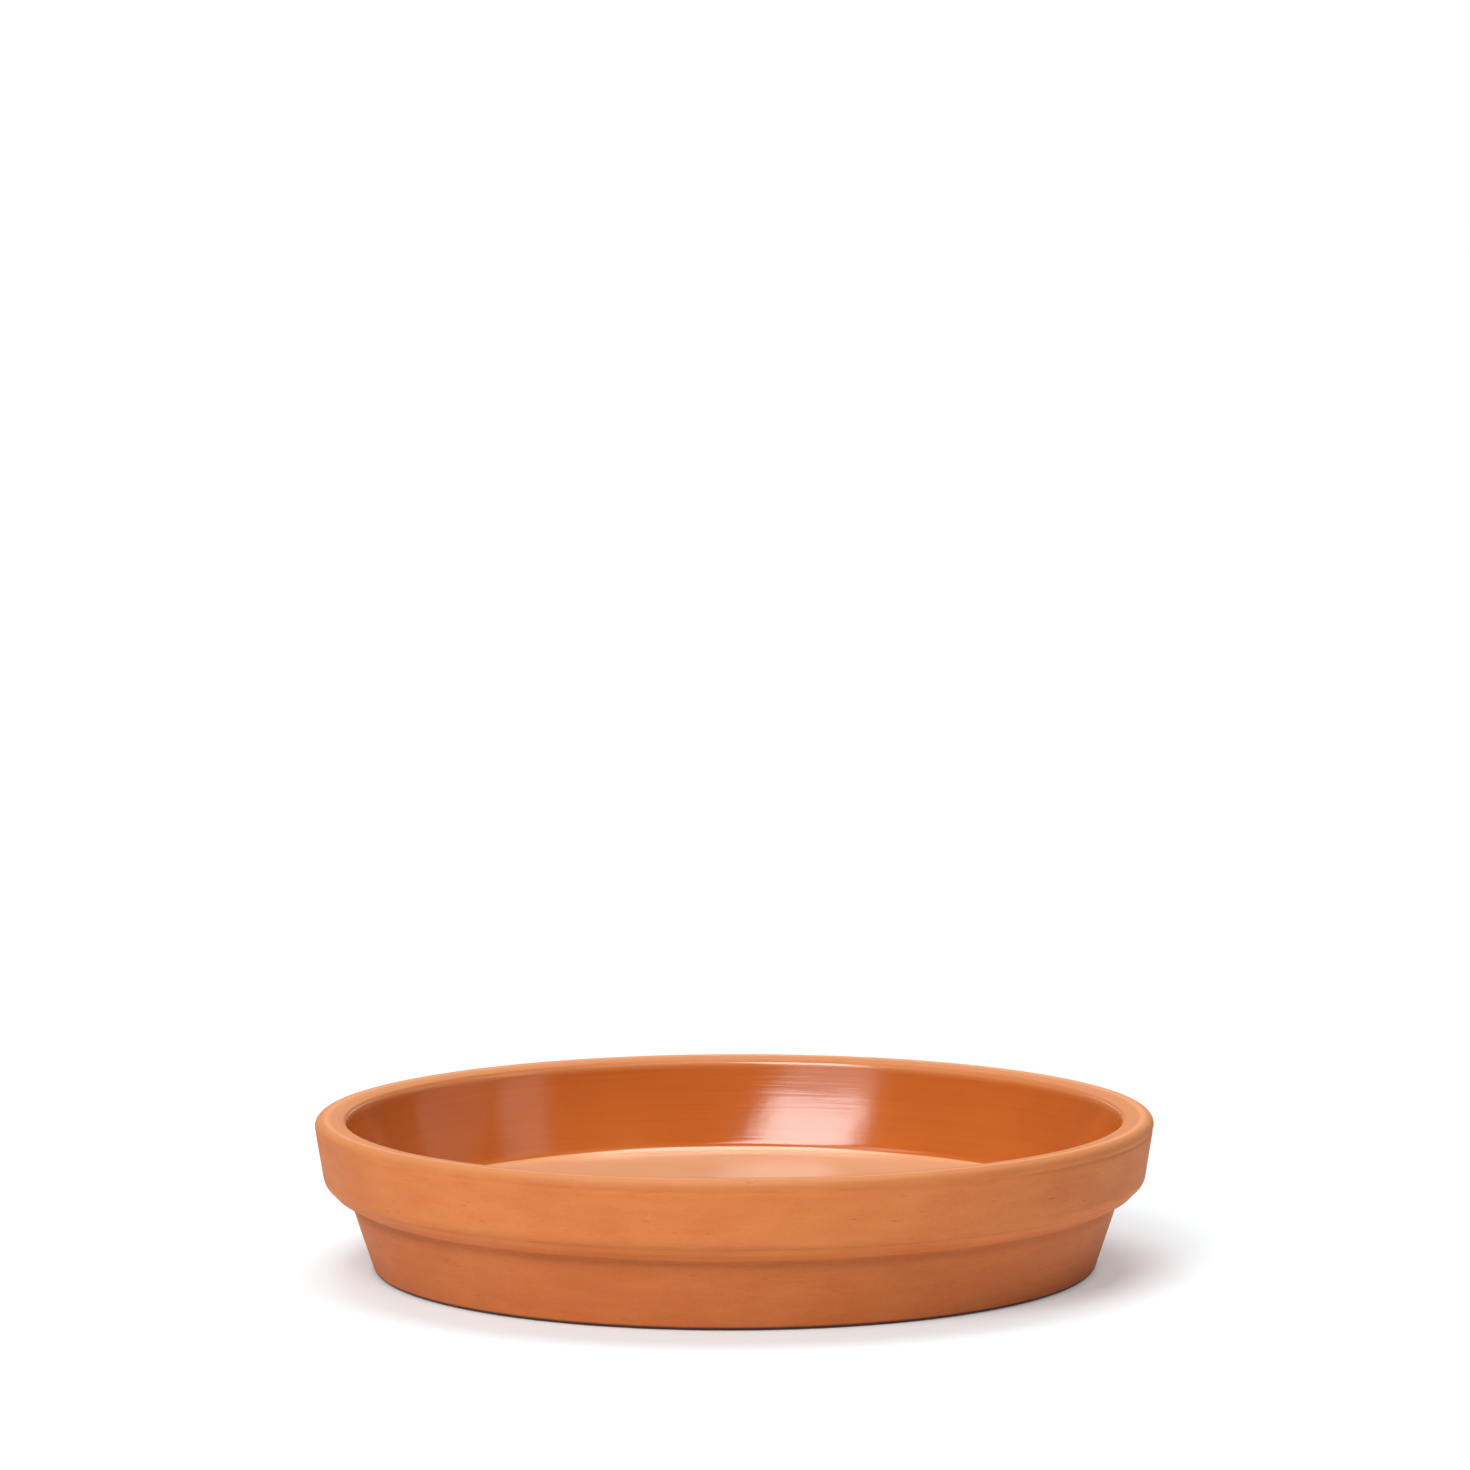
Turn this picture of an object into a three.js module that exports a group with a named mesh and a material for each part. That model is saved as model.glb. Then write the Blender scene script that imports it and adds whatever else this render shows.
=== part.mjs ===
// Terracotta saucer: a pressed and fired clay dish with a stepped rim band, glazed inside.
// Millimetres, +Z up, with the origin at the centre of the circle that the foot stands on.
import * as THREE from "three";

// Driving dimensions of the clay body.
const outerDiameter = 200;
const height = 36.5;
const rimLandWidth = 6.9;
const bandHeight = 15.6;
const bandTaper = 2.5;
const lipOverhang = 6.3;
const lipUndercut = 4.4;
const wallTaper = 5.5;
const wallThickness = 6.4;
const baseThickness = 10.5;
const footRecess = 3.5;
const footRingWidth = 9.5;
const footRecessDraft = 1.5;

// Edge roundings, in the order in which the outline meets them.
const footInnerRounding = 1.0;
const footEdgeRounding = 0.8;
const baseEdgeRounding = 1.55;
const underBandRounding = 0.6;
const lipRounding = 4.2;
const rimOuterRounding = 1.9;
const rimInnerRounding = 1.8;
const wellFillet = 3.2;

// The fired glaze coat over the well's wall and floor.
const glazeThickness = 0.3;

// Fineness of the turned surfaces.
const turningSegments = 96;
const arcStepDegrees = 20;

// Radii and levels that follow from the driving dimensions. The band's corner lies a little
// outside the rim's radius, so that the rounded rim is the outer diameter across.
const rimRadius = outerDiameter / 2;
const rimInnerRadius = rimRadius - rimLandWidth;
const bandSlope = bandTaper / bandHeight;
const bandCornerRadius = rimRadius + rimOuterRounding * (bandSlope + Math.hypot(1, bandSlope) - 1);
const lipRadius = bandCornerRadius - bandTaper;
const lipLevel = height - bandHeight;
const underBandRadius = lipRadius - lipOverhang;
const underBandLevel = lipLevel - lipUndercut;
const footRadius = underBandRadius - wallTaper;
const footInnerRadius = footRadius - footRingWidth;
const floorLevel = footRecess + baseThickness;
const outerWallRadiusAtFloor =
  footRadius + (wallTaper * Math.min(floorLevel, underBandLevel)) / underBandLevel;
const floorRadius = outerWallRadiusAtFloor - wallThickness;

// An arc that rounds the corner between two neighbours, as points from one tangent point to
// the other. The radius is limited to what the two sides can hold.
function roundedCorner(before, corner, after, radius) {
  const toBefore = before.clone().sub(corner);
  const toAfter = after.clone().sub(corner);
  const halfAngle = Math.acos(toBefore.dot(toAfter) / (toBefore.length() * toAfter.length())) / 2;
  const room = Math.min(toBefore.length(), toAfter.length()) / 2;
  const tangentLength = Math.min(radius / Math.tan(halfAngle), room);
  const held = tangentLength * Math.tan(halfAngle);
  toBefore.normalize();
  toAfter.normalize();
  const start = toBefore.clone().multiplyScalar(tangentLength).add(corner);
  const centre = toBefore
    .clone()
    .add(toAfter)
    .normalize()
    .multiplyScalar(held / Math.sin(halfAngle))
    .add(corner);
  const spoke = start.clone().sub(centre);
  const turn = Math.sign(toAfter.cross(toBefore)) * (Math.PI - 2 * halfAngle);
  const steps = Math.max(2, Math.ceil(Math.abs(turn) / THREE.MathUtils.degToRad(arcStepDegrees)));
  return Array.from({ length: steps + 1 }, (_, i) =>
    spoke.clone().rotateAround(new THREE.Vector2(), (turn * i) / steps).add(centre),
  );
}

// An outline of corners [radius, level, rounding], rounded where a rounding is given.
function outline(corners) {
  const points = corners.map(([radius, level]) => new THREE.Vector2(radius, level));
  return corners.flatMap(([, , rounding], i) =>
    rounding ? roundedCorner(points[i - 1], points[i], points[i + 1], rounding) : [points[i]],
  );
}

// A closed outline from axis to axis, turned about Z.
function turned(name, profile, material) {
  const geometry = new THREE.LatheGeometry(profile, turningSegments);
  geometry.rotateX(Math.PI / 2);
  const mesh = new THREE.Mesh(geometry, material);
  mesh.name = name;
  return mesh;
}

const wellWall = new THREE.Vector2(rimInnerRadius - floorRadius, height - floorLevel);
const wallSlant = wellWall.length() / wellWall.y;

// The well's surface from the rim's rounding down to the axis, lowered into the clay by depth.
function wellOutline(depth) {
  const bedLevel = floorLevel - depth;
  const shift = depth * wallSlant;
  const drop = (depth * wellWall.x) / wellWall.y;
  return outline([
    [rimInnerRadius + shift, height],
    [floorRadius + shift - drop, bedLevel, wellFillet + depth],
    [0, bedLevel],
  ]).slice(1);
}

const rimCorner = new THREE.Vector2(rimInnerRadius, height);
const landPoint = new THREE.Vector2(rimRadius - rimLandWidth / 2, height);
const wallFoot = new THREE.Vector2(floorRadius, floorLevel);
const rimInnerArc = roundedCorner(landPoint, rimCorner, wallFoot, rimInnerRounding);

// The glaze ends in a small step where the rim's inner rounding runs out into the wall.
const glazeEdge = rimInnerArc.at(-1);
const glazeEdgeBed = new THREE.Vector2(wellWall.y, -wellWall.x)
  .normalize()
  .multiplyScalar(glazeThickness)
  .add(glazeEdge);

const outerOutline = outline([
  [0, footRecess],
  [footInnerRadius - footRecessDraft, footRecess, footInnerRounding],
  [footInnerRadius, 0, footEdgeRounding],
  [footRadius, 0, baseEdgeRounding],
  [underBandRadius, underBandLevel, underBandRounding],
  [lipRadius, lipLevel, lipRounding],
  [bandCornerRadius, height, rimOuterRounding],
  [rimInnerRadius, height],
]).slice(0, -1);

const firedClay = new THREE.MeshStandardMaterial({ color: 0xd98352, roughness: 0.85, metalness: 0 });
const clearGlaze = new THREE.MeshStandardMaterial({ color: 0xc0601f, roughness: 0.2, metalness: 0 });

const saucer = new THREE.Group();
saucer.add(
  turned(
    "clay_body",
    [...outerOutline, ...rimInnerArc, glazeEdgeBed, ...wellOutline(glazeThickness)],
    firedClay,
  ),
);
saucer.add(
  turned(
    "inner_glaze",
    [...wellOutline(glazeThickness).reverse(), glazeEdgeBed, glazeEdge, ...wellOutline(0)],
    clearGlaze,
  ),
);

export default saucer;
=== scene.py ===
"""Terracotta saucer: a turned clay dish with a stepped rim band, glazed inside.

The clay and the glaze are turned from their half sections as grids of points, and stand in a
plain pale studio. Lengths are in metres, +Z is up, and the origin is the centre of the circle
that the foot stands on.
"""

import math

import bpy
import numpy as np
from bpy.props import FloatProperty, FloatVectorProperty, IntProperty, PointerProperty
from bpy.types import Node, NodeSocket, Operator, Panel, PropertyGroup
from mathutils import Euler, Matrix, Vector


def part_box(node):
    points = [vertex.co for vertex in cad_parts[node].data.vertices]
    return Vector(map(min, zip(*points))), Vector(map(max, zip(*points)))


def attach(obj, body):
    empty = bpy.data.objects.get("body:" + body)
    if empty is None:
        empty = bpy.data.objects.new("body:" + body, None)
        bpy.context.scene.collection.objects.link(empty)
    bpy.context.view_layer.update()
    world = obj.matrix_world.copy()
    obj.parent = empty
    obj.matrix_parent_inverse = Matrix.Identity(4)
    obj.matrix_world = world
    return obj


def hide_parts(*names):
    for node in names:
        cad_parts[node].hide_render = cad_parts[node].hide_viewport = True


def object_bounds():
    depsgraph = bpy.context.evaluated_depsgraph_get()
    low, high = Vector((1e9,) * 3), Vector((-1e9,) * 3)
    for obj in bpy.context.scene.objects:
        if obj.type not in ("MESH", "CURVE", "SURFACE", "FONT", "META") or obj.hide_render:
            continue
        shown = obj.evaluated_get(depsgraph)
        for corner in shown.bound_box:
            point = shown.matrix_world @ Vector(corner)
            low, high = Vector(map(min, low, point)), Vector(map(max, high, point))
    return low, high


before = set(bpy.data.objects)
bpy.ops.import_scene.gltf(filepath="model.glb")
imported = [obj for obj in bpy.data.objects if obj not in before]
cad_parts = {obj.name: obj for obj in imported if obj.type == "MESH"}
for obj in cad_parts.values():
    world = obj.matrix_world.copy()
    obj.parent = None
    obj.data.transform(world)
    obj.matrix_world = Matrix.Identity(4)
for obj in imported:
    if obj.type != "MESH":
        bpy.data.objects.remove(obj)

bl_info = {
    "name": "Terracotta Saucer",
    "version": (1, 0, 0),
    "blender": (4, 5, 0),
    "location": "3D Viewport > Sidebar > Saucer",
    "description": (
        "Turns a terracotta plant saucer with a glazed well and sets it in a pale studio"
    ),
    "category": "Add Mesh",
}

MM = 0.001
cad_low, cad_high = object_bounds()
glaze_low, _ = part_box("inner_glaze")
GLAZE_THICKNESS = 0.3 * MM
ARC_SPACING = 0.25 * MM

# Relief of the clay that stays the same whatever the finish.
WAVE_DEPTH = 0.04 * MM
BEAD_HEIGHT = 0.34 * MM
HOLLOW_DEPTH = 0.4 * MM
RIM_FALL = 0.2 * MM

# Relief of the glaze where it ran to its edge.
GLAZE_LIP_HEIGHT = 0.06 * MM

# The studio, in metres, and the backdrop's heights as sines of its elevation.
SOFTBOX_DISTANCE = 4.0
FLOOR_REACH = 40.0
CAMERA_REACH = 200.0
BACKDROP_FADE = 0.02
CAMERA_BACKDROP = 0.075


def linear(hex_colour):
    """Linear RGB of an sRGB hex colour such as #C0601F."""
    channels = [int(hex_colour[i : i + 2], 16) / 255 for i in (1, 3, 5)]
    return [c / 12.92 if c <= 0.04045 else ((c + 0.055) / 1.055) ** 2.4 for c in channels]


def length(name, millimetres, description):
    """A length that a user may change, given in millimetres and held in metres."""
    return FloatProperty(
        name=name, description=description, default=millimetres * MM, unit="LENGTH", precision=5
    )


def angle(name, degrees, description):
    """An angle that a user may change, given in degrees and held in radians."""
    return FloatProperty(
        name=name, description=description, default=math.radians(degrees), subtype="ANGLE"
    )


def share(name, default, description):
    """A share from 0 to 1 that a user may change."""
    return FloatProperty(
        name=name, description=description, default=default, min=0, max=1, subtype="FACTOR"
    )


def amount(name, default, description):
    """A plain number from 0 up that a user may change."""
    return FloatProperty(name=name, description=description, default=default, min=0)


def colour(name, hex_colour, description):
    """A surface colour that a user may change, given as sRGB hex and held linear."""
    return FloatVectorProperty(
        name=name,
        description=description,
        default=linear(hex_colour),
        size=3,
        min=0,
        max=1,
        subtype="COLOR",
    )


class SaucerShape(PropertyGroup):
    """Sizes of the clay dish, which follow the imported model."""

    diameter: length("Diameter", (cad_high.x - cad_low.x) / MM, "Outer diameter of the rim")
    height: length("Height", cad_high.z / MM, "Height of the rim above the ground")
    floor_level: length(
        "Floor level", (glaze_low.z + GLAZE_THICKNESS) / MM, "Level of the well's floor"
    )
    rim_land: length("Rim width", 6.9, "Width of the rim's flat top, with its rounded edges")
    band_height: length("Band height", 15.6, "Height of the rim band")
    band_taper: length("Band taper", 2.5, "How far the band narrows downwards")
    lip_overhang: length("Lip overhang", 6.3, "How far the band stands out from the wall")
    lip_undercut: length("Lip undercut", 4.4, "How far the underside of the lip slopes down")
    wall_taper: length("Wall taper", 5.5, "How far the lower wall narrows downwards")
    wall_thickness: length("Wall thickness", 6.4, "Thickness of the lower wall")
    wall_bow: length("Wall bow", 0.5, "How far the wall of the well is hollowed")
    foot_recess: length("Foot recess", 3.5, "Depth of the recess inside the foot ring")
    foot_width: length("Foot ring width", 9.5, "Width of the foot ring")
    segments: IntProperty(
        name="Segments", description="Faces round the saucer", default=336, min=48, max=720
    )


class ClayFinish(PropertyGroup):
    """Colours and turning marks of the unglazed clay."""

    dense: colour("Dense clay", "#D07033", "Colour of the redder, denser patches")
    chalky: colour("Chalky clay", "#DE8544", "Colour of the paler, chalky patches")
    # The rim's top colour is a less saturated copy of the clay's colour, as painted sheen.
    rim: colour("Rim clay", "#CC8049", "Colour of the rim's top, less saturated as painted sheen")
    # This colour is a painted highlight along the outer part of the rim's top.
    edge: colour("Painted highlight ring", "#DF935C", "Colour of the painted highlight ring along the rim's top")
    grit_and_painted_shade: colour("Grit and painted shade", "#4E1D0A", "Colour of dark grains and of painted shade in the creases and round the foot")
    ring_depth: length("Ring depth", 0.012, "Depth of the turning rings")
    crease_depth: length("Crease depth", 0.22, "Depth of the template's crease under the lip")
    groove_depth: length("Groove depth", 0.26, "Depth of the template's groove below the rim")


class GlazeFinish(PropertyGroup):
    """Colour and gloss of the clear glaze over the clay."""

    thin: colour("Thin glaze", "#CB6E2D", "Colour of the clay where the glaze lies thin")
    thick: colour("Thick glaze", "#BF6024", "Colour of the clay where the glaze lies thick")
    edge: colour("Glaze edge", "#DA8B55", "Colour of the clay where the glaze runs out at the rim")
    # This colour is painted reflection and light on the outer part of the floor.
    pale_ring_painted_light: colour("Pale floor ring", "#DE9E6B", "Colour of the floor's edge, paler as painted reflection and light")
    floor: colour("Floor glaze", "#CE6E20", "Colour of the middle of the floor")
    wall_roughness: share("Wall roughness", 0.13, "Roughness of the glaze on the wall")
    floor_roughness: share("Floor roughness", 0.23, "Roughness of the glaze on the floor")
    ring_depth: length("Ring depth", 0.003, "Depth of the turning rings in the glaze")


class Studio(PropertyGroup):
    """Camera, floor and lights."""

    camera_distance: length("Camera distance", 1432.1, "Level distance from the saucer's axis")
    camera_height: length("Camera height", 256.5, "Height of the camera above the floor")
    camera_offset: length("Camera offset", 0.82, "How far the camera stands to the right")
    camera_pitch: angle("Camera pitch", 5.167, "How far the camera looks down")
    camera_roll: angle("Camera roll", 0.17, "How far the camera leans")
    focal_length: FloatProperty(
        name="Focal length", description="For a 36 mm sensor", default=148.33, unit="CAMERA"
    )
    key_azimuth: angle("Key azimuth", -25, "Direction of the main softbox, 0 at the camera")
    key_elevation: angle("Key elevation", 47, "Elevation of the main softbox")
    key_radiance: amount("Key radiance", 8.3, "Radiance of the main softbox")
    overhead_radiance: amount("Overhead radiance", 7.9, "Radiance of the softbox overhead")
    backdrop_radiance: amount("Backdrop radiance", 1.7, "Radiance of the card behind")
    side_radiance: amount("Side radiance", 1.4, "Radiance of the softbox high on the left")
    fill_radiance: amount("Fill radiance", 0.7, "Radiance of the nearer card on the right")
    ambient: amount("Ambient", 0.05, "Radiance of the room all round")
    floor_white: share("Floor white", 0.36, "How much white the floor shows of its own")


def add_node(tree, kind, inputs=(), **settings):
    """Adds a node with its own settings.

    Each input, named by its identifier, gets a value, an output, or the first output in use of
    another node.
    """
    node = tree.nodes.new(kind)
    for name, value in settings.items():
        setattr(node, name, value)
    sockets = {socket.identifier: socket for socket in node.inputs}
    for name, value in dict(inputs).items():
        if isinstance(value, Node):
            value = next(output for output in value.outputs if output.enabled)
        if isinstance(value, NodeSocket):
            tree.links.new(value, sockets[name])
        else:
            sockets[name].default_value = value
    return node


def corner_arc(before, corner, after, rounding, spacing):
    """Points of the arc that rounds a corner.

    With 2h the angle between the two sides, the arc's centre lies r / sin(h) from the corner
    on the bisector, and the arc touches each side r / tan(h) from the corner.
    """
    to_before = (before - corner) / np.linalg.norm(before - corner)
    to_after = (after - corner) / np.linalg.norm(after - corner)
    half = math.acos(np.clip(to_before @ to_after, -1, 1)) / 2
    bisector = (to_before + to_after) / np.linalg.norm(to_before + to_after)
    centre = corner + bisector * rounding / math.sin(half)
    spoke = corner + to_before * rounding / math.tan(half) - centre
    side = np.sign(to_after[0] * to_before[1] - to_after[1] * to_before[0])
    turn = side * (math.pi - 2 * half)
    steps = max(4, math.ceil(abs(turn) * rounding / spacing))
    angles = np.linspace(0, turn, steps + 1)
    across = np.array([-spoke[1], spoke[0]])
    return centre + np.cos(angles)[:, None] * spoke + np.sin(angles)[:, None] * across


def rounded_section(corners, spacings):
    """Points [radius, level] along straight sides whose corners are arcs.

    A row of corners holds a radius, a level and a rounding. Each side between two corners has
    its own distance between points.
    """
    corners = np.asarray(corners, dtype=float)
    points = corners[:, :2]
    stretches = [points[:1]]
    for i, spacing in enumerate(spacings):
        arc = points[i + 1 : i + 2]
        if corners[i + 1, 2] > 0:
            arc_spacing = min(spacing, spacings[i + 1], ARC_SPACING)
            arc = corner_arc(*points[i : i + 3], corners[i + 1, 2], arc_spacing)
        start = stretches[-1][-1]
        steps = max(1, math.ceil(np.linalg.norm(arc[0] - start) / spacing))
        shares = np.linspace(0, 1, steps + 1)[1:, None]
        stretches.append(start + (arc[0] - start) * shares)
        stretches.append(arc[1:])
    return np.concatenate(stretches)


def distance_along(section):
    """Length of the section from its start to each of its points."""
    steps = np.linalg.norm(np.diff(section, axis=0), axis=1)
    return np.concatenate([[0], np.cumsum(steps)])


def station(section, point):
    """Distance along the section at which it passes nearest to a point."""
    nearest = np.argmin(np.linalg.norm(section - point, axis=1))
    return distance_along(section)[nearest]


def outward(section):
    """Unit normals of a section that has its body on the left: the tangent turned right."""
    tangent = np.gradient(section, axis=0)
    tangent /= np.linalg.norm(tangent, axis=1, keepdims=True)
    return np.stack([tangent[:, 1], -tangent[:, 0]], axis=1)


def smooth_rise(low, high, value):
    """Rises from 0 at low to 1 at high as 3t^2 - 2t^3."""
    t = np.clip((value - low) / (high - low), 0, 1)
    return t * t * (3 - 2 * t)


def hump(centre, width, value):
    """A smooth hump of height 1: exp(-d^2), with d the distance from its centre in widths."""
    return np.exp(-(((value - centre) / width) ** 2))


def turning_rings(turn, along, pitches, seed):
    """Rings left by turning, from -1 to 1: the mean of sines of the distance along the section.

    Each sine has its own pitch and phase, and sways and swells a few times round the saucer,
    so that no ring is even all the way.
    """
    random = np.random.default_rng(seed)
    total = np.zeros((len(along), len(turn)))
    for pitch in pitches:
        phase, sway_phase, swell_phase = random.uniform(0, 2 * math.pi, 3)
        sway_count, swell_count = random.integers(1, 5, 2)
        sway = 1.5 * np.sin(sway_count * turn + sway_phase)
        swell = 0.6 + 0.4 * np.sin(swell_count * turn + swell_phase)
        total += swell * np.sin(2 * math.pi * along[:, None] / pitch + phase + sway)
    return total / len(pitches)


def uneven(turn, counts, seed):
    """A share from 0 to 1 that changes round the saucer: a mean of cosines with these counts."""
    random = np.random.default_rng(seed)
    waves = [np.cos(count * turn + random.uniform(0, 2 * math.pi)) for count in counts]
    return 0.5 + 0.5 * np.mean(waves, axis=0)


def turned_mesh(name, section, relief):
    """Closed surface of a section from axis to axis, turned about Z.

    The point (i, j) stands at the angle 2 pi j / n, at (radius_i cos, radius_i sin, level_i),
    moved by relief_ij along the section's normal. Both ends are poles.
    """
    segments = relief.shape[1]
    turn = np.arange(segments) * 2 * math.pi / segments
    normal = outward(section)
    radius = section[:, :1] + normal[:, :1] * relief
    level = section[:, 1:] + normal[:, 1:] * relief
    grid = np.stack([radius * np.cos(turn), radius * np.sin(turn), level], axis=2)[1:-1]
    poles = np.array([[0, 0, section[0, 1]], [0, 0, section[-1, 1]]])
    points = np.concatenate([grid.reshape(-1, 3), poles])

    here = np.arange(segments)
    there = np.roll(here, -1)
    last_row = (len(grid) - 1) * segments
    row = np.arange(0, last_row, segments)[:, None]
    quads = np.stack(
        [row + here, row + there, row + segments + there, row + segments + here], axis=2
    )
    first_pole = np.full(segments, len(points) - 2)
    last_pole = first_pole + 1
    first_fan = np.stack([first_pole, there, here], axis=1)
    last_fan = np.stack([last_pole, last_row + here, last_row + there], axis=1)

    mesh = bpy.data.meshes.new(name)
    faces = quads.reshape(-1, 4).tolist() + first_fan.tolist() + last_fan.tolist()
    mesh.from_pydata(points, [], faces)
    mesh.shade_smooth()
    mesh.update()
    return mesh


def add_piece(name, mesh, materials, node):
    """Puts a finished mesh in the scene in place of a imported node."""
    for material in materials:
        mesh.materials.append(material)
    piece = bpy.data.objects.new(name, mesh)
    bpy.context.scene.collection.objects.link(piece)
    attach(piece, "root")
    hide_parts(node)


class HalfSection:
    """The saucer's half section as points [radius, level], worked out from its sizes."""

    RECESS_DRAFT = 1.5 * MM
    RECESS_ROUNDING = 1.0 * MM
    FOOT_INNER_ROUNDING = 0.8 * MM
    FOOT_ROUNDING = 1.55 * MM
    UNDER_LIP_ROUNDING = 0.6 * MM
    LIP_ROUNDING = 4.2 * MM
    RIM_ROUNDING = 1.9 * MM
    RIM_INNER_ROUNDING = 2.4 * MM
    FILLET = 3.2 * MM
    FINEST = 0.12 * MM
    FINE = 0.25 * MM
    MIDDLING = 1 * MM
    COARSE = 6 * MM

    def __init__(self, shape):
        rim_radius = shape.diameter / 2
        slope = shape.band_taper / shape.band_height
        band_radius = rim_radius + self.RIM_ROUNDING * (slope + math.hypot(1, slope) - 1)
        lip_radius = band_radius - shape.band_taper
        lip_level = shape.height - shape.band_height
        under_radius = lip_radius - shape.lip_overhang
        under_level = lip_level - shape.lip_undercut
        foot_radius = under_radius - shape.wall_taper
        foot_inner = foot_radius - shape.foot_width
        wall_share = min(shape.floor_level, under_level) / under_level
        floor_radius = foot_radius + shape.wall_taper * wall_share - shape.wall_thickness

        self.floor_level = shape.floor_level
        self.bow = shape.wall_bow
        self.lip = np.array([lip_radius, lip_level])
        self.under_lip = np.array([under_radius, under_level])
        self.foot = np.array([foot_radius, 0])
        self.rim_outer = np.array([band_radius, shape.height])
        self.rim_inner = np.array([rim_radius - shape.rim_land, shape.height])
        self.wall_foot = np.array([floor_radius, shape.floor_level])
        rounding = corner_arc(
            self.rim_outer, self.rim_inner, self.wall_foot, self.RIM_INNER_ROUNDING, self.FINEST
        )
        # The glaze starts on the last eighth of the rim's inner rounding.
        glaze_start = len(rounding) * 7 // 8
        self.rim_edge = rounding[: glaze_start + 1]
        self.glazed_edge = rounding[glaze_start:]
        self.outside = rounded_section(
            [
                [0, shape.foot_recess, 0],
                [foot_inner - self.RECESS_DRAFT, shape.foot_recess, self.RECESS_ROUNDING],
                [foot_inner, 0, self.FOOT_INNER_ROUNDING],
                [foot_radius, 0, self.FOOT_ROUNDING],
                [under_radius, under_level, self.UNDER_LIP_ROUNDING],
                [lip_radius, lip_level, self.LIP_ROUNDING],
                [*self.rim_outer, self.RIM_ROUNDING],
                [*self.rim_edge[0], 0],
            ],
            [self.COARSE, self.MIDDLING, self.MIDDLING, 2 * self.FINE, *[self.FINE] * 3],
        )

    def well(self, depth, spacings):
        """The well from the glazed edge to the axis, sunk into the clay by depth.

        Its wall is hollowed by 4 b t (1 - t), with t its share of the height and b the bow.
        """
        run, rise = self.rim_inner - self.wall_foot
        slant = math.hypot(run, rise)
        edge = self.glazed_edge - depth * outward(self.glazed_edge)
        edge[-1] = self.glazed_edge[-1] + depth * np.array([rise, -run]) / slant
        foot_radius = self.wall_foot[0] + depth * (slant - run) / rise
        level = self.floor_level - depth
        section = rounded_section(
            [[*edge[-1], 0], [foot_radius, level, self.FILLET + depth], [0, level, 0]], spacings
        )
        t = (section[:, 1] - self.floor_level) / (self.glazed_edge[-1, 1] - self.floor_level)
        t = np.clip(t, 0, 1)
        section[:, 0] += 4 * self.bow * t * (1 - t)
        return np.concatenate([edge[:-1], section])

    def bed(self):
        """The surface where clay and glaze meet, which both pieces share."""
        return self.well(GLAZE_THICKNESS, [2 * self.MIDDLING, self.COARSE])


def clay_mesh(shape, finish):
    """The clay: the outside with its turning marks, the rim, and the bed under the glaze.

    Relief is rings, a broad waviness, a crease and a bead under the lip, a hollow where the lip
    meets the wall, a groove below the rim's rounded edge, and a fall across the rim's top
    towards the well. Each stands at its distance along the section from the lip or the rim.
    """
    half = HalfSection(shape)
    section = np.concatenate([half.outside, half.rim_edge[1:], half.bed()])
    along = distance_along(section)
    turn = np.arange(shape.segments) * 2 * math.pi / shape.segments
    lip = station(section, half.lip)
    under_lip = station(section, half.under_lip)
    foot = station(section, half.foot)
    rim_outer = station(section, half.rim_outer)
    rim_inner = station(section, half.rim_inner)

    visible = smooth_rise(foot + 0.3 * MM, foot + 2 * MM, along)
    visible *= 1 - smooth_rise(rim_inner - 0.5 * MM, rim_inner + 0.5 * MM, along)
    rings = turning_rings(turn, along, [1.3 * MM, 1.7 * MM, 2.3 * MM, 3.1 * MM, 4.7 * MM], seed=3)
    waves = turning_rings(turn, along, [13 * MM, 19 * MM, 31 * MM], seed=5)
    relief = finish.ring_depth * rings + WAVE_DEPTH * (waves - 1)
    crease = hump(lip - 1.1 * MM, 0.5 * MM, along)[:, None]
    bead = hump(lip - 3.3 * MM, 1.0 * MM, along)[:, None]
    hollow = hump(under_lip, 0.9 * MM, along)[:, None]
    groove = hump(rim_outer - 2.35 * MM, 0.45 * MM, along)[:, None]
    fall = smooth_rise(rim_outer + 1.3 * MM, rim_outer + 3.3 * MM, along)[:, None]
    relief -= finish.crease_depth * crease * (0.4 + 0.6 * uneven(turn, [1, 3, 7, 16], seed=7))
    relief += BEAD_HEIGHT * bead * (0.6 + 0.4 * uneven(turn, [2, 5, 9], seed=9))
    relief -= HOLLOW_DEPTH * hollow
    relief -= finish.groove_depth * groove * (0.5 + 0.5 * uneven(turn, [1, 2, 5, 11], seed=11))
    relief -= RIM_FALL * fall
    relief *= visible[:, None]
    return turned_mesh("clay_body_fired", section, relief)


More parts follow.
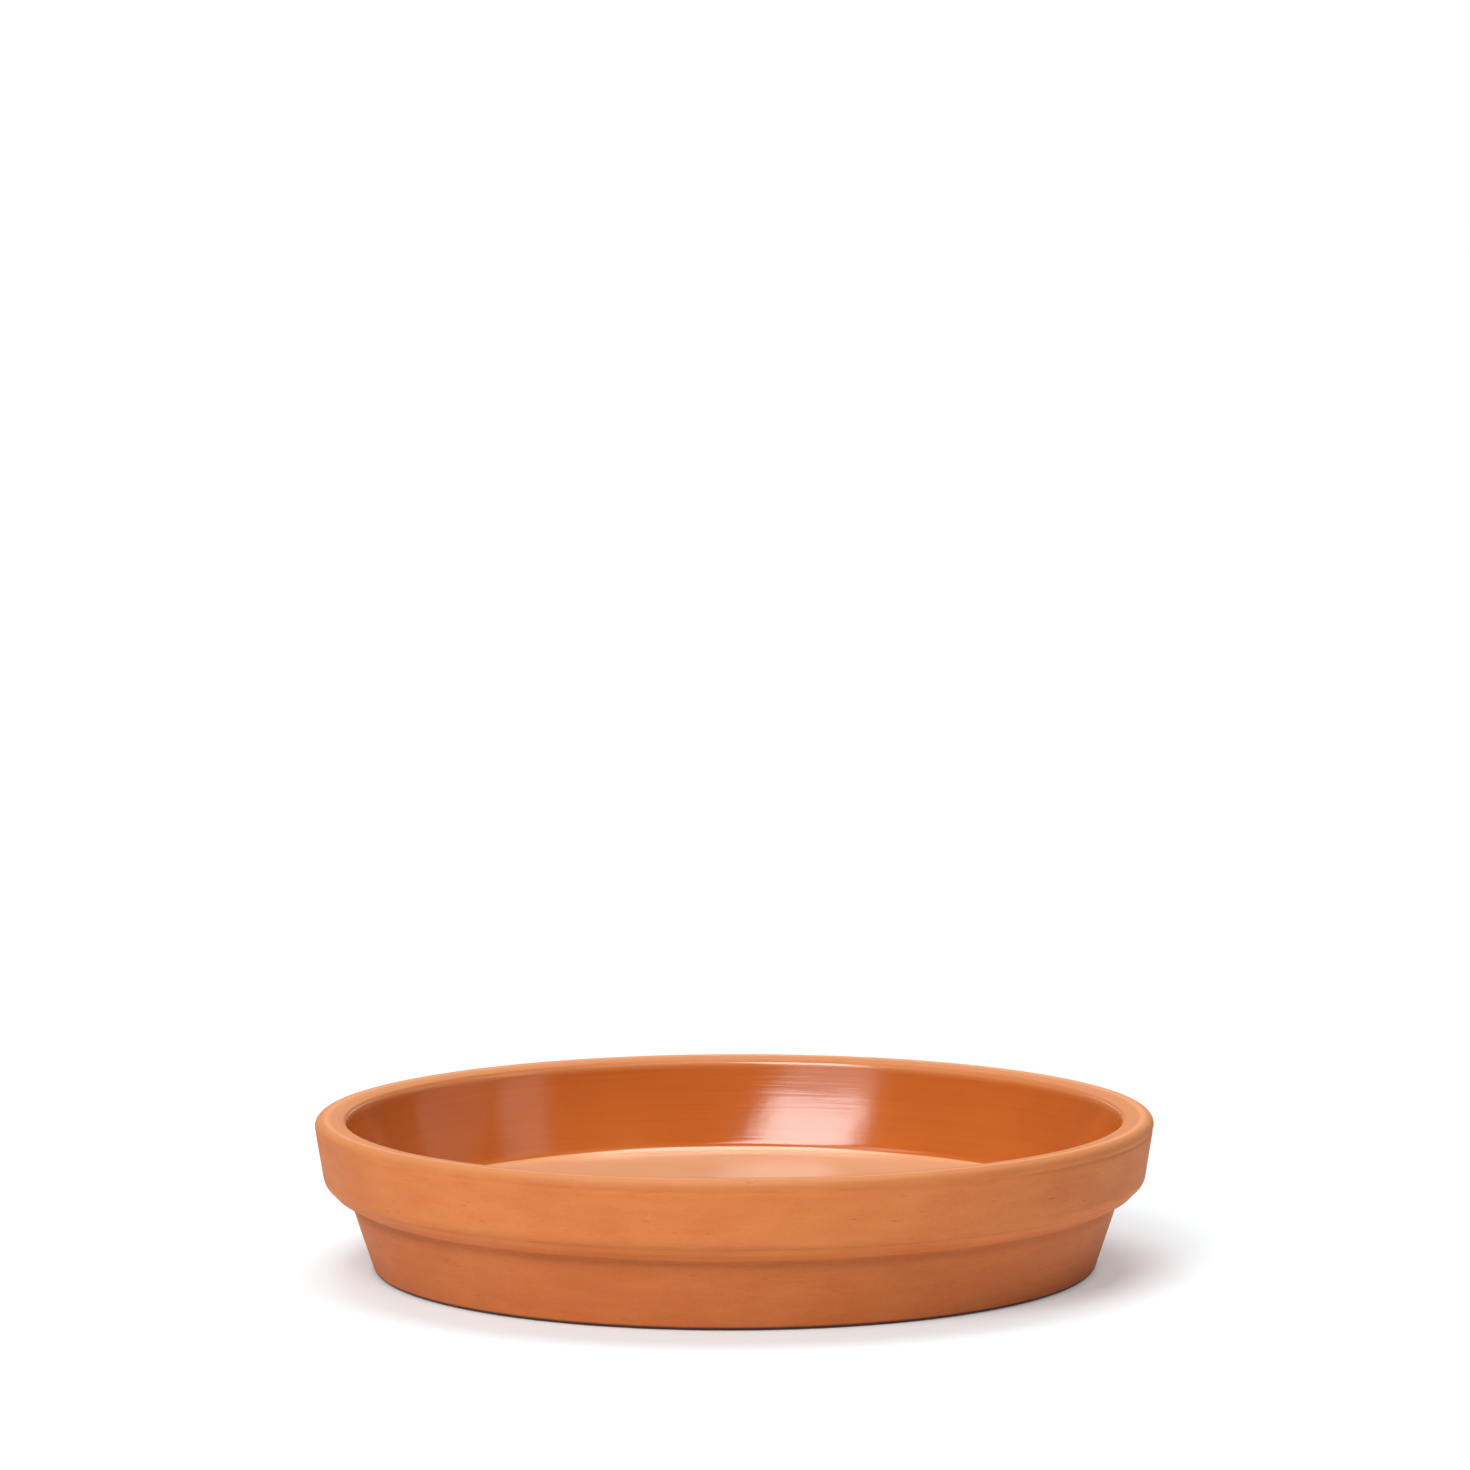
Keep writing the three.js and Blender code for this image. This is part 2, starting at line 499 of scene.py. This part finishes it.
def glaze_mesh(shape, finish):
    """The glaze: a thin skin from its bed on the clay, over the edge, to the shiny surface.

    Relief is fine rings on the shiny surface, and a rounded lip where the glaze ran to its edge.
    The floor's faces take the second material.
    """
    half = HalfSection(shape)
    bed = half.bed()[::-1]
    shine = half.well(0, [half.FINE, 0.8 * MM])
    section = np.concatenate([bed, shine])
    along = distance_along(section)
    turn = np.arange(shape.segments) * 2 * math.pi / shape.segments
    edge = along[len(bed)]
    visible = smooth_rise(edge + 0.3 * MM, edge + 1.5 * MM, along)
    rings = turning_rings(turn, along, [1.1 * MM, 1.5 * MM, 2.1 * MM, 3.3 * MM, 5.9 * MM], seed=13)
    lip = smooth_rise(edge, edge + 0.4 * MM, along) * hump(edge + 0.8 * MM, 0.45 * MM, along)
    relief = finish.ring_depth * rings * visible[:, None]
    relief += GLAZE_LIP_HEIGHT * lip[:, None] * (0.6 + 0.4 * uneven(turn, [2, 5, 9], seed=17))
    mesh = turned_mesh("inner_glaze_fired", section, relief)
    centres = np.empty(3 * len(mesh.polygons))
    mesh.polygons.foreach_get("center", centres)
    floor_top = shape.floor_level + 0.7 * MM
    on_floor = centres[2::3] < floor_top
    mesh.polygons.foreach_set("material_index", on_floor.astype(np.int32))
    return mesh


def ring_place(tree):
    """Object coordinates, and (x, y, radius + level), whose last part runs across all rings."""
    place = add_node(tree, "ShaderNodeTexCoord").outputs["Object"]
    parts = add_node(tree, "ShaderNodeSeparateXYZ", {"Vector": place})
    flat = add_node(
        tree,
        "ShaderNodeVectorMath",
        {"Vector": place, "Vector_001": (1, 1, 0)},
        operation="MULTIPLY",
    )
    radius = add_node(tree, "ShaderNodeVectorMath", {"Vector": flat}, operation="LENGTH")
    across = add_node(
        tree, "ShaderNodeMath", {"Value": radius, "Value_001": parts.outputs["Z"]}, operation="ADD"
    )
    ring = add_node(
        tree,
        "ShaderNodeCombineXYZ",
        {"X": parts.outputs["X"], "Y": parts.outputs["Y"], "Z": across},
    )
    return place, ring


def drawn_out(tree, ring, mark_length, mark_width, detail):
    """Noise drawn out round the saucer, in marks of about this length and width."""
    scaled = add_node(
        tree,
        "ShaderNodeVectorMath",
        {"Vector": ring, "Vector_001": (1 / mark_length, 1 / mark_length, 1 / mark_width)},
        operation="MULTIPLY",
    )
    return add_node(
        tree,
        "ShaderNodeTexNoise",
        {"Vector": scaled, "Scale": 1.0, "Detail": detail, "Roughness": 0.55},
    )


def marks(tree, place, spacing, size):
    """Scattered marks, 1 in the middle of each and 0 outside.

    Spacing is how far apart they lie along each coordinate, and size is the radius of a mark as
    a share of it.
    """
    scaled = add_node(
        tree,
        "ShaderNodeVectorMath",
        {"Vector": place, "Vector_001": tuple(1 / step for step in spacing)},
        operation="MULTIPLY",
    )
    cells = add_node(
        tree, "ShaderNodeTexVoronoi", {"Vector": scaled, "Scale": 1.0, "Randomness": 1.0}
    )
    return add_node(
        tree,
        "ShaderNodeMapRange",
        {"Value": cells, "From Max": size, "To Min": 1.0, "To Max": 0.0},
        interpolation_type="SMOOTHSTEP",
    )


def stripe(tree, value, centre, half_width):
    """1 where the value is at the centre, and 0 from half the width away on either side."""
    off = add_node(
        tree, "ShaderNodeMath", {"Value": value, "Value_001": centre}, operation="SUBTRACT"
    )
    size = add_node(tree, "ShaderNodeMath", {"Value": off}, operation="ABSOLUTE")
    return add_node(
        tree,
        "ShaderNodeMapRange",
        {"Value": size, "From Max": half_width, "To Min": 1.0, "To Max": 0.0},
        interpolation_type="SMOOTHSTEP",
    )


def weighed(tree, patterns, middle):
    """Sum of patterns, each a pair of an output and a weight, that is middle where all are 0.5."""
    total = middle - 0.5 * sum(weight for _, weight in patterns)
    for pattern, weight in patterns:
        total = add_node(
            tree,
            "ShaderNodeMath",
            {"Value": pattern, "Value_001": weight, "Value_002": total},
            operation="MULTIPLY_ADD",
        )
    return total


def new_material(name):
    """An empty node material and its tree."""
    material = bpy.data.materials.new(name)
    material.use_nodes = True
    material.node_tree.nodes.clear()
    return material, material.node_tree


def unglazed_terracotta(finish):
    """Terracotta, pressed, turned against a template and fired without glaze.

    The porous clay is matt and a little chalky. It is clouded between paler and redder patches,
    and has fine rings, short marks where grains were dragged along, and a few dark grains. Its
    lower wall is painted darker and redder than the band, as painted shade. The rim's top is
    less saturated, as painted sheen, with a painted highlight ring, and painted shade lies under
    the lip, in the crease under the band and round the foot.
    """
    material, tree = new_material("unglazed_turned_terracotta")
    place, ring = ring_place(tree)
    clouds = add_node(
        tree,
        "ShaderNodeTexNoise",
        {"Vector": place, "Scale": 1 / (25 * MM), "Detail": 3.0, "Roughness": 0.5},
    )
    rings = drawn_out(tree, ring, mark_length=60 * MM, mark_width=1.2 * MM, detail=3.0)
    drags = drawn_out(tree, ring, mark_length=2.5 * MM, mark_width=0.35 * MM, detail=1.0)
    grain = add_node(
        tree,
        "ShaderNodeTexNoise",
        {"Vector": place, "Scale": 1 / (0.6 * MM), "Detail": 2.0, "Roughness": 0.6},
    )
    patches = drawn_out(tree, ring, mark_length=14 * MM, mark_width=4 * MM, detail=2.0)
    level = add_node(tree, "ShaderNodeSeparateXYZ", {"Vector": place}).outputs["Z"]
    # Painted shade: the lower wall below the band takes the redder, darker clay, and the band the
    # paler.
    painted_shade_below_band = add_node(
        tree, "ShaderNodeMapRange", {"Value": level, "From Min": 13 * MM, "From Max": 22 * MM}
    )
    tone = weighed(
        tree,
        [
            (clouds, 1.0),
            (patches, 1.0),
            (rings, 0.25),
            (drags, 0.35),
            (grain, 0.6),
            (painted_shade_below_band, 0.35),
        ],
        middle=0.35,
    )
    # Painted sheen: the rim's top takes its own, less saturated colour.
    painted_sheen_on_rim = add_node(
        tree,
        "ShaderNodeMapRange",
        {"Value": level, "From Min": cad_high.z - 2.4 * MM, "From Max": cad_high.z - 0.4 * MM},
    )
    across = add_node(tree, "ShaderNodeSeparateXYZ", {"Vector": ring}).outputs["Z"]
    on_top = add_node(
        tree,
        "ShaderNodeMapRange",
        {"Value": level, "From Min": cad_high.z - 0.8 * MM, "From Max": cad_high.z - 0.4 * MM},
    )
    # Painted highlight: a paler ring along the outer part of the rim's top.
    highlight_ring_stripe = stripe(tree, across, centre=133.6 * MM, half_width=1.5 * MM)
    painted_rim_highlight = add_node(
        tree, "ShaderNodeMath", {"Value": highlight_ring_stripe, "Value_001": on_top}, operation="MULTIPLY"
    )
    spots = marks(tree, place, spacing=(9 * MM, 9 * MM, 9 * MM), size=0.045)
    pits = marks(tree, ring, spacing=(10 * MM, 10 * MM, 1.3 * MM), size=0.13)
    nicks = marks(tree, ring, spacing=(8 * MM, 8 * MM, 0.9 * MM), size=0.14)
    # Painted contact shadow: the clay darkens over its lowest millimetre or so.
    painted_foot_shadow = add_node(
        tree,
        "ShaderNodeMapRange",
        {"Value": level, "From Min": 0.6 * MM, "From Max": 1.1 * MM, "To Min": 1.0, "To Max": 0.0},
    )
    # Painted shade: the clay darkens in the hollow under the lip and along the crease under the
    # band.
    under_lip = stripe(tree, across, centre=106.9 * MM, half_width=3.0 * MM)
    crease = stripe(tree, across, centre=116.9 * MM, half_width=0.8 * MM)
    # The dark grains, pits and nicks are the clay's own; the foot line, the hollow under the lip
    # and the crease are painted shade.
    # Where there is no mark the sum is just under 0, so the clay keeps its colour there.
    dark = weighed(
        tree,
        [
            (spots, 0.22),
            (pits, 0.08),
            (nicks, 0.05),
            (painted_foot_shadow, 1.0),
            (under_lip, 0.13),
            (crease, 0.12),
        ],
        middle=0.8,
    )
    clay = (*finish.dense, 1)
    for cover, layer in (
        (tone, finish.chalky),
        (painted_sheen_on_rim, finish.rim),
        (painted_rim_highlight, finish.edge),
        (dark, finish.grit_and_painted_shade),
    ):
        clay = add_node(
            tree,
            "ShaderNodeMix",
            {"Factor_Float": cover, "A_Color": clay, "B_Color": (*layer, 1)},
            data_type="RGBA",
        )
    height = weighed(
        tree,
        [(rings, 0.3), (drags, 0.35), (grain, 0.2), (pits, -1.6), (nicks, -1.2)],
        middle=0.5,
    )
    bump = add_node(
        tree, "ShaderNodeBump", {"Strength": 1.0, "Distance": 0.12 * MM, "Height": height}
    )
    surface = add_node(
        tree,
        "ShaderNodeBsdfPrincipled",
        {
            "Base Color": clay,
            "Roughness": 0.7,
            "IOR": 1.5,
            "Normal": bump,
        },
    )
    add_node(tree, "ShaderNodeOutputMaterial", {"Surface": surface})
    return material


def clear_glazed_terracotta(finish):
    """Terracotta under a thin clear glaze that was poured in and fired.

    The wet look deepens the clay to a saturated orange, a little darker where the glaze lies
    thicker between the rings and paler where it runs out at the rim, and the glassy coat mirrors
    the lights softly.
    """
    material, tree = new_material("clear_glazed_terracotta")
    place, ring = ring_place(tree)
    clouds = add_node(
        tree,
        "ShaderNodeTexNoise",
        {"Vector": place, "Scale": 1 / (30 * MM), "Detail": 2.0, "Roughness": 0.5},
    )
    rings = drawn_out(tree, ring, mark_length=50 * MM, mark_width=1.0 * MM, detail=3.0)
    tone = weighed(tree, [(clouds, 1.2), (rings, 0.8)], middle=0.5)
    level = add_node(tree, "ShaderNodeSeparateXYZ", {"Vector": place}).outputs["Z"]
    at_edge = add_node(
        tree,
        "ShaderNodeMapRange",
        {"Value": level, "From Min": cad_high.z - 3.2 * MM, "From Max": cad_high.z - 1.2 * MM},
        interpolation_type="SMOOTHSTEP",
    )
    clay = (*finish.thick, 1)
    for cover, layer in ((tone, finish.thin), (at_edge, finish.edge)):
        clay = add_node(
            tree,
            "ShaderNodeMix",
            {"Factor_Float": cover, "A_Color": clay, "B_Color": (*layer, 1)},
            data_type="RGBA",
        )
    ripples = add_node(
        tree,
        "ShaderNodeTexNoise",
        {"Vector": place, "Scale": 1 / (7 * MM), "Detail": 2.0, "Roughness": 0.5},
    )
    height = weighed(tree, [(rings, 0.35), (ripples, 0.65)], middle=0.5)
    bump = add_node(
        tree, "ShaderNodeBump", {"Strength": 1.0, "Distance": 0.075 * MM, "Height": height}
    )
    surface = add_node(
        tree,
        "ShaderNodeBsdfPrincipled",
        {
            "Base Color": clay,
            "Roughness": finish.wall_roughness,
            "IOR": 1.65,
            "Normal": bump,
        },
    )
    add_node(tree, "ShaderNodeOutputMaterial", {"Surface": surface})
    return material


def satin_glazed_terracotta(finish):
    """Terracotta floor whose glaze is rubbed dull by the pots on it.

    It is less shiny than the wall, and a trace of dust lifts it at low angles. Its paler ring
    round the middle is painted reflection and light, and the middle is deeper in colour.
    """
    material, tree = new_material("satin_glazed_terracotta")
    place, ring = ring_place(tree)
    clouds = add_node(
        tree,
        "ShaderNodeTexNoise",
        {"Vector": place, "Scale": 1 / (18 * MM), "Detail": 3.0, "Roughness": 0.5},
    )
    rings = drawn_out(tree, ring, mark_length=50 * MM, mark_width=1.6 * MM, detail=3.0)
    distance = add_node(tree, "ShaderNodeVectorMath", {"Vector": place}, operation="LENGTH")
    # Painted reflection and light: the floor turns paler towards the foot of the wall.
    painted_reflection_ring = add_node(
        tree,
        "ShaderNodeMapRange",
        {"Value": distance, "From Min": 30 * MM, "From Max": 52 * MM},
        interpolation_type="SMOOTHSTEP",
    )
    tone = weighed(tree, [(painted_reflection_ring, 0.9), (clouds, 0.6), (rings, 0.4)], middle=0.5)
    clay = add_node(
        tree,
        "ShaderNodeMix",
        {"Factor_Float": tone, "A_Color": (*finish.floor, 1), "B_Color": (*finish.pale_ring_painted_light, 1)},
        data_type="RGBA",
    )
    bump = add_node(
        tree, "ShaderNodeBump", {"Strength": 1.0, "Distance": 0.04 * MM, "Height": rings}
    )
    surface = add_node(
        tree,
        "ShaderNodeBsdfPrincipled",
        {
            "Base Color": clay,
            "Roughness": finish.floor_roughness,
            "IOR": 1.5,
            "Normal": bump,
            "Sheen Weight": 0.3,
            "Sheen Roughness": 0.5,
        },
    )
    add_node(tree, "ShaderNodeOutputMaterial", {"Surface": surface})
    return material


def seen_directly(tree):
    """1 for rays from the camera, in a reflection or through glass, and 0 for all others."""
    path = add_node(tree, "ShaderNodeLightPath")
    either = add_node(
        tree,
        "ShaderNodeMath",
        {
            "Value": path.outputs["Is Camera Ray"],
            "Value_001": path.outputs["Is Glossy Ray"],
        },
        operation="MAXIMUM",
    )
    return add_node(
        tree,
        "ShaderNodeMath",
        {"Value": either, "Value_001": path.outputs["Is Transmission Ray"]},
        operation="MAXIMUM",
    )


def pale_floor(studio):
    """A matt white board that keeps the soft shadow, and shows as white all round it.

    Its own white grows with the distance from the saucer, and fades out round the foot as a
    painted contact shadow. Rays that are seen meet a cooler board than those that only carry light.
    """
    material, tree = new_material("matt_white_board")
    place = add_node(tree, "ShaderNodeTexCoord").outputs["Object"]
    distance = add_node(tree, "ShaderNodeVectorMath", {"Vector": place}, operation="LENGTH")
    white = add_node(
        tree,
        "ShaderNodeMapRange",
        {
            "Value": distance,
            "From Min": 0.12,
            "From Max": 1.5,
            "To Min": studio.floor_white,
            "To Max": 1.0,
        },
        interpolation_type="SMOOTHSTEP",
    )
    # Painted contact shadow: the board's own white fades out round the foot.
    clear = add_node(
        tree,
        "ShaderNodeMapRange",
        {"Value": distance, "From Min": 82 * MM, "From Max": 88 * MM},
        interpolation_type="SMOOTHSTEP",
    )
    white_past_painted_shadow = add_node(
        tree, "ShaderNodeMath", {"Value": white, "Value_001": clear}, operation="MULTIPLY"
    )
    seen = seen_directly(tree)
    own = add_node(
        tree, "ShaderNodeMath", {"Value": seen, "Value_001": white_past_painted_shadow}, operation="MULTIPLY"
    )
    glow = add_node(tree, "ShaderNodeEmission", {"Strength": own})
    white_card = (0.85, 0.85, 0.85, 1)
    cool_card = (0.55, 0.587, 0.605, 1)
    card = add_node(
        tree,
        "ShaderNodeMix",
        {"Factor_Float": seen, "A_Color": white_card, "B_Color": cool_card},
        data_type="RGBA",
    )
    board = add_node(tree, "ShaderNodeBsdfDiffuse", {"Color": card})
    both = add_node(tree, "ShaderNodeAddShader", {"Shader": board, "Shader_001": glow})
    add_node(tree, "ShaderNodeOutputMaterial", {"Surface": both})
    return material


def light_room(studio):
    """A dim room whose lowest part shows as a white backdrop behind the floor.

    The camera sees the backdrop up to about 5 degrees, and reflections up to about 1 degree.
    """
    world = bpy.data.worlds.new("pale_room")
    world.use_nodes = True
    tree = world.node_tree
    tree.nodes.clear()
    direction = add_node(tree, "ShaderNodeTexCoord").outputs["Generated"]
    parts = add_node(tree, "ShaderNodeSeparateXYZ", {"Vector": direction})
    camera_ray = add_node(tree, "ShaderNodeLightPath").outputs["Is Camera Ray"]
    height = add_node(
        tree,
        "ShaderNodeMath",
        {"Value": camera_ray, "Value_001": -CAMERA_BACKDROP, "Value_002": parts.outputs["Z"]},
        operation="MULTIPLY_ADD",
    )
    low = add_node(
        tree,
        "ShaderNodeMapRange",
        {
            "Value": height,
            "From Min": 0.0,
            "From Max": BACKDROP_FADE,
            "To Min": 1.0,
            "To Max": 0.0,
        },
        interpolation_type="SMOOTHSTEP",
    )
    backdrop = add_node(
        tree,
        "ShaderNodeMath",
        {"Value": seen_directly(tree), "Value_001": low},
        operation="MULTIPLY",
    )
    level = add_node(
        tree,
        "ShaderNodeMix",
        {"Factor_Float": backdrop, "A_Float": studio.ambient, "B_Float": 1.0},
        data_type="FLOAT",
    )
    room = add_node(tree, "ShaderNodeBackground", {"Color": (1, 1, 1, 1), "Strength": level})
    add_node(tree, "ShaderNodeOutputWorld", {"Surface": room})
    bpy.context.scene.world = world


def direction_of(azimuth, elevation):
    """Unit vector towards an azimuth, 0 at the camera and growing to the right, and elevation."""
    level = math.cos(elevation)
    return Vector((math.sin(azimuth) * level, -math.cos(azimuth) * level, math.sin(elevation)))


def add_softbox(name, azimuth, elevation, width, height, radiance, shear, soft):
    """A soft light that is width by height as angles seen from the saucer.

    It is a parallelogram whose sides lean by shear to the right per unit up. Its radiance falls
    to 0 towards its sides and ends over the soft edges, each a share of the half width or
    half height. An even lamp of radiance L and area A has the power pi L A.
    """
    half_width = SOFTBOX_DISTANCE * math.tan(width / 2)
    half_height = SOFTBOX_DISTANCE * math.tan(height / 2)
    lamp = bpy.data.lights.new(name, "AREA")
    lamp.shape = "RECTANGLE"
    lamp.size = 2 * (half_width + abs(shear) * half_height)
    lamp.size_y = 2 * half_height
    lamp.energy = math.pi * lamp.size * lamp.size_y * radiance
    towards = direction_of(azimuth, elevation)
    turn = (-towards).to_track_quat("-Z", "Y").to_matrix()
    box = bpy.data.objects.new(name, lamp)
    box.matrix_world = Matrix.Translation(towards * SOFTBOX_DISTANCE) @ turn.to_4x4()
    bpy.context.scene.collection.objects.link(box)

    lamp.use_nodes = True
    tree = lamp.node_tree
    tree.nodes.clear()
    place = add_node(tree, "ShaderNodeNewGeometry").outputs["Position"]
    fades = []
    for axis, reach, soft_edge in (
        (turn.col[0] - shear * turn.col[1], half_width, soft[0]),
        (turn.col[1], half_height, soft[1]),
    ):
        off_centre = add_node(
            tree,
            "ShaderNodeVectorMath",
            {"Vector": place, "Vector_001": axis},
            operation="DOT_PRODUCT",
        )
        size = add_node(tree, "ShaderNodeMath", {"Value": off_centre}, operation="ABSOLUTE")
        fades.append(
            add_node(
                tree,
                "ShaderNodeMapRange",
                {
                    "Value": size,
                    "From Min": reach * (1 - soft_edge),
                    "From Max": reach,
                    "To Min": 1.0,
                    "To Max": 0.0,
                },
                interpolation_type="SMOOTHSTEP",
            )
        )
    fade = add_node(
        tree, "ShaderNodeMath", {"Value": fades[0], "Value_001": fades[1]}, operation="MULTIPLY"
    )
    glow = add_node(tree, "ShaderNodeEmission", {"Strength": fade})
    add_node(tree, "ShaderNodeOutputLight", {"Surface": glow})


class SAUCER_OT_clay(Operator):
    """Turn the fired clay dish"""

    bl_idname = "saucer.clay"
    bl_label = "Clay body"

    def execute(self, context):
        scene = context.scene
        mesh = clay_mesh(scene.saucer_shape, scene.saucer_clay)
        material = unglazed_terracotta(scene.saucer_clay)
        add_piece("clay_body_fired", mesh, [material], "clay_body")
        return {"FINISHED"}


class SAUCER_OT_glaze(Operator):
    """Lay the clear glaze over the well"""

    bl_idname = "saucer.glaze"
    bl_label = "Inner glaze"

    def execute(self, context):
        scene = context.scene
        mesh = glaze_mesh(scene.saucer_shape, scene.saucer_glaze)
        materials = [
            clear_glazed_terracotta(scene.saucer_glaze),
            satin_glazed_terracotta(scene.saucer_glaze),
        ]
        add_piece("inner_glaze_fired", mesh, materials, "inner_glaze")
        return {"FINISHED"}


class SAUCER_OT_stage(Operator):
    """Set up the floor, the room, the lights and the camera"""

    bl_idname = "saucer.stage"
    bl_label = "Studio"

    def execute(self, context):
        scene = context.scene
        studio = scene.saucer_studio
        mesh = bpy.data.meshes.new("floor")
        directions = ((-1, -1), (1, -1), (1, 1), (-1, 1))
        corners = [(x * FLOOR_REACH, y * FLOOR_REACH, 0) for x, y in directions]
        mesh.from_pydata(corners, [], [(0, 1, 2, 3)])
        mesh.materials.append(pale_floor(studio))
        floor = bpy.data.objects.new("floor", mesh)
        scene.collection.objects.link(floor)

        light_room(studio)
        degree = math.radians(1)
        key_azimuth = studio.key_azimuth / degree
        key_elevation = studio.key_elevation / degree
        key, fill = studio.key_radiance, studio.fill_radiance
        # Azimuth, elevation, width and height in degrees, radiance, lean and soft edges.
        for name, *box, radiance, shear, soft in (
            ("key_softbox", key_azimuth, key_elevation, 38, 35, key, 0.32, (0.53, 0.29)),
            ("key_spill", key_azimuth - 7, 24, 36, 16, 0.2 * key, 0.0, (0.5, 0.5)),
            ("side_softbox", -75, 60, 30, 24, studio.side_radiance, 0.0, (0.5, 0.5)),
            ("overhead_softbox", 180, 78, 44, 34, studio.overhead_radiance, 0.0, (0.5, 0.5)),
            ("backdrop_card", 180, 18, 56, 26, studio.backdrop_radiance, 0.0, (0.5, 0.5)),
            ("fill_card_near", 82, 34, 26, 44, fill, 0.76, (0.5, 0.5)),
            ("fill_card_far", 102, 17, 46, 22, 0.45 * fill, 1.4, (0.3, 0.5)),
        ):
            add_softbox(name, *(degree * size for size in box), radiance, shear, soft)

        camera_data = bpy.data.cameras.new("camera")
        camera_data.lens = studio.focal_length
        camera_data.sensor_width = 36
        camera_data.clip_end = CAMERA_REACH
        camera = bpy.data.objects.new("camera", camera_data)
        camera.location = (studio.camera_offset, -studio.camera_distance, studio.camera_height)
        camera.rotation_euler = Euler(
            (math.pi / 2 - studio.camera_pitch, studio.camera_roll, 0), "XYZ"
        )
        scene.collection.objects.link(camera)
        scene.camera = camera
        scene.view_settings.view_transform = "Standard"
        return {"FINISHED"}


class SAUCER_PT_panel(Panel):
    """Lists the saucer's pieces in the 3D view's sidebar"""

    bl_idname = "SAUCER_PT_panel"
    bl_label = "Terracotta Saucer"
    bl_space_type = "VIEW_3D"
    bl_region_type = "UI"
    bl_category = "Saucer"

    def draw(self, context):
        scene = context.scene
        for operator, group in (
            (SAUCER_OT_clay, scene.saucer_clay),
            (SAUCER_OT_glaze, scene.saucer_glaze),
            (SAUCER_OT_stage, scene.saucer_studio),
        ):
            box = self.layout.box()
            box.operator(operator.bl_idname)
            for name in group.__annotations__:
                box.prop(group, name)
        box = self.layout.box()
        for name in scene.saucer_shape.__annotations__:
            box.prop(scene.saucer_shape, name)


CLASSES = (
    SaucerShape,
    ClayFinish,
    GlazeFinish,
    Studio,
    SAUCER_OT_clay,
    SAUCER_OT_glaze,
    SAUCER_OT_stage,
    SAUCER_PT_panel,
)


def register():
    """Adds the classes and the settings that a scene holds for them."""
    for added in CLASSES:
        bpy.utils.register_class(added)
    bpy.types.Scene.saucer_shape = PointerProperty(type=SaucerShape)
    bpy.types.Scene.saucer_clay = PointerProperty(type=ClayFinish)
    bpy.types.Scene.saucer_glaze = PointerProperty(type=GlazeFinish)
    bpy.types.Scene.saucer_studio = PointerProperty(type=Studio)


def unregister():
    """Takes the settings and the classes away again."""
    del bpy.types.Scene.saucer_shape
    del bpy.types.Scene.saucer_clay
    del bpy.types.Scene.saucer_glaze
    del bpy.types.Scene.saucer_studio
    for added in reversed(CLASSES):
        bpy.utils.unregister_class(added)


def main():
    """Builds the saucer and its studio."""
    register()
    bpy.ops.saucer.clay()
    bpy.ops.saucer.glaze()
    bpy.ops.saucer.stage()
    bpy.context.view_layer.update()


if __name__ == "__main__":
    main()
